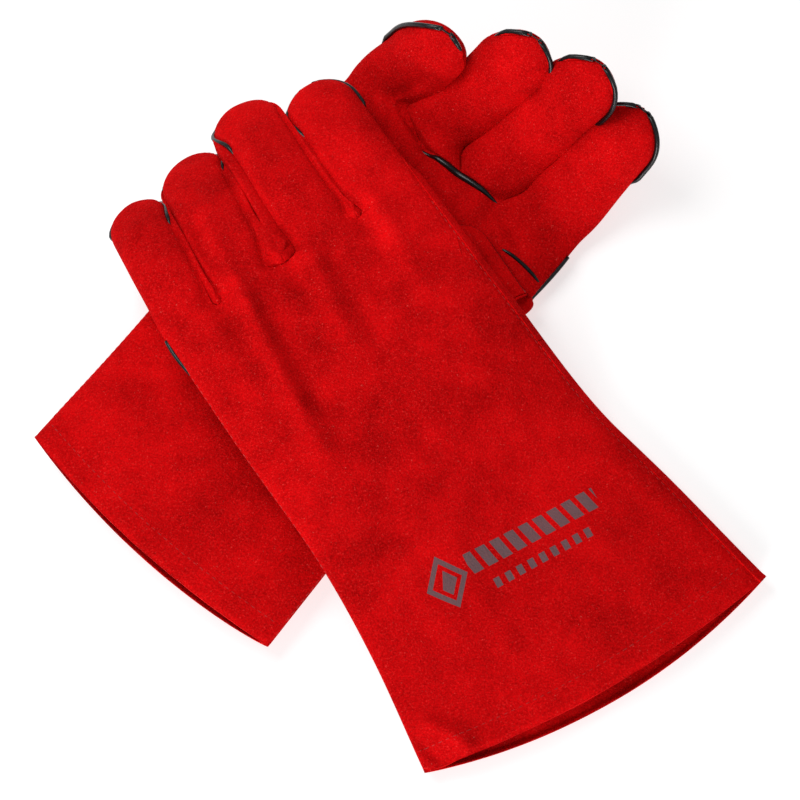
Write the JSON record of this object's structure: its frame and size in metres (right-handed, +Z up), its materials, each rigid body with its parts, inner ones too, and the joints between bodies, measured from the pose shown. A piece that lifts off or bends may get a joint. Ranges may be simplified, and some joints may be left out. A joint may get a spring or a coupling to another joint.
{
  "type": "welding gloves",
  "caption": "Crossed pair of lined red suede welding gauntlets, one palm up and one laid over it back up, with welted seams, finger gussets and long open cuffs.",
  "frame": {"origin": "middle of the bounding box at the surface that the pair lies on", "axes": "+X to the right, +Y away from the viewer, +Z up from the surface; both cuffs open towards -Y"},
  "size_m": [0.3647, 0.3826, 0.0722],
  "materials": {
    "red_suede": "napped suede",
    "fleece_lining": "brushed fleece",
    "black_welt": "glossy"
  },
  "bodies": {
    "left_hand": {"left_back_panel": "red_suede", "left_palm_panel": "red_suede", "left_cuff_front": "red_suede", "left_lining": "fleece_lining", "left_hem": "red_suede", "left_side_welts": "black_welt", "left_gunn_welt": "black_welt"},
    "left_little_finger": {"left_little_back": "red_suede", "left_little_front": "red_suede", "left_little_gussets": "red_suede", "left_little_welts": "black_welt", "left_little_lining": "fleece_lining"},
    "left_ring_finger": {"left_ring_back": "red_suede", "left_ring_front": "red_suede", "left_ring_gussets": "red_suede", "left_ring_welts": "black_welt", "left_ring_lining": "fleece_lining"},
    "left_middle_finger": {"left_middle_back": "red_suede", "left_middle_front": "red_suede", "left_middle_gussets": "red_suede", "left_middle_welts": "black_welt", "left_middle_lining": "fleece_lining"},
    "left_index_finger": {"left_index_back": "red_suede", "left_index_front": "red_suede", "left_index_gussets": "red_suede", "left_index_welts": "black_welt", "left_index_lining": "fleece_lining"},
    "left_thumb": {"left_thumb_outer": "red_suede", "left_thumb_inner": "red_suede", "left_thumb_lining": "fleece_lining"},
    "right_hand": {"right_back_panel": "red_suede", "right_palm_panel": "red_suede", "right_cuff_front": "red_suede", "right_lining": "fleece_lining", "right_hem": "red_suede", "right_side_welts": "black_welt", "right_gunn_welt": "black_welt"},
    "right_little_finger": {"right_little_back": "red_suede", "right_little_front": "red_suede", "right_little_gussets": "red_suede", "right_little_welts": "black_welt", "right_little_lining": "fleece_lining"},
    "right_ring_finger": {"right_ring_back": "red_suede", "right_ring_front": "red_suede", "right_ring_gussets": "red_suede", "right_ring_welts": "black_welt", "right_ring_lining": "fleece_lining"},
    "right_middle_finger": {"right_middle_back": "red_suede", "right_middle_front": "red_suede", "right_middle_gussets": "red_suede", "right_middle_welts": "black_welt", "right_middle_lining": "fleece_lining"},
    "right_index_finger": {"right_index_back": "red_suede", "right_index_front": "red_suede", "right_index_gussets": "red_suede", "right_index_welts": "black_welt", "right_index_lining": "fleece_lining"},
    "right_thumb": {"right_thumb_outer": "red_suede", "right_thumb_inner": "red_suede", "right_thumb_lining": "fleece_lining"}
  },
  "joints": [
    {"name": "left_glove_lift", "type": "slide", "parent": "right_hand", "child": "left_hand", "axis": [0, 0, 1], "range_m": [0, 0.12]},
    {"name": "left_little_curl", "type": "hinge", "parent": "left_hand", "child": "left_little_finger", "pos_m": [-0.1015, 0.0262, 0.0483], "axis": [0.829, 0.5592, 0], "range_deg": [0, 30]},
    {"name": "left_ring_curl", "type": "hinge", "parent": "left_hand", "child": "left_ring_finger", "pos_m": [-0.07166, 0.04633, 0.0483], "axis": [0.829, 0.5592, 0], "range_deg": [0, 30]},
    {"name": "left_middle_curl", "type": "hinge", "parent": "left_hand", "child": "left_middle_finger", "pos_m": [-0.03725, 0.06954, 0.0483], "axis": [0.829, 0.5592, 0], "range_deg": [0, 30]},
    {"name": "left_index_curl", "type": "hinge", "parent": "left_hand", "child": "left_index_finger", "pos_m": [-0.00243, 0.09303, 0.0483], "axis": [0.829, 0.5592, 0], "range_deg": [0, 30]},
    {"name": "left_thumb_swing", "type": "hinge", "parent": "left_hand", "child": "left_thumb", "pos_m": [0.03839, 0.05754, 0.0281], "axis": [0, 0, -1], "range_deg": [0, 80]},
    {"name": "right_little_curl", "type": "hinge", "parent": "right_hand", "child": "right_little_finger", "pos_m": [-0.0201, 0.16173, 0.0143], "axis": [0.788, -0.6157, 0], "range_deg": [0, 45]},
    {"name": "right_ring_curl", "type": "hinge", "parent": "right_hand", "child": "right_ring_finger", "pos_m": [0.00827, 0.13956, 0.0143], "axis": [0.788, -0.6157, 0], "range_deg": [0, 45]},
    {"name": "right_middle_curl", "type": "hinge", "parent": "right_hand", "child": "right_middle_finger", "pos_m": [0.04097, 0.11401, 0.0143], "axis": [0.788, -0.6157, 0], "range_deg": [0, 45]},
    {"name": "right_index_curl", "type": "hinge", "parent": "right_hand", "child": "right_index_finger", "pos_m": [0.07407, 0.08815, 0.0143], "axis": [0.788, -0.6157, 0], "range_deg": [0, 45]},
    {"name": "right_thumb_swing", "type": "hinge", "parent": "right_hand", "child": "right_thumb", "pos_m": [0.05294, 0.03836, 0.0189], "axis": [0, 0, -1], "range_deg": [0, 80]}
  ]
}
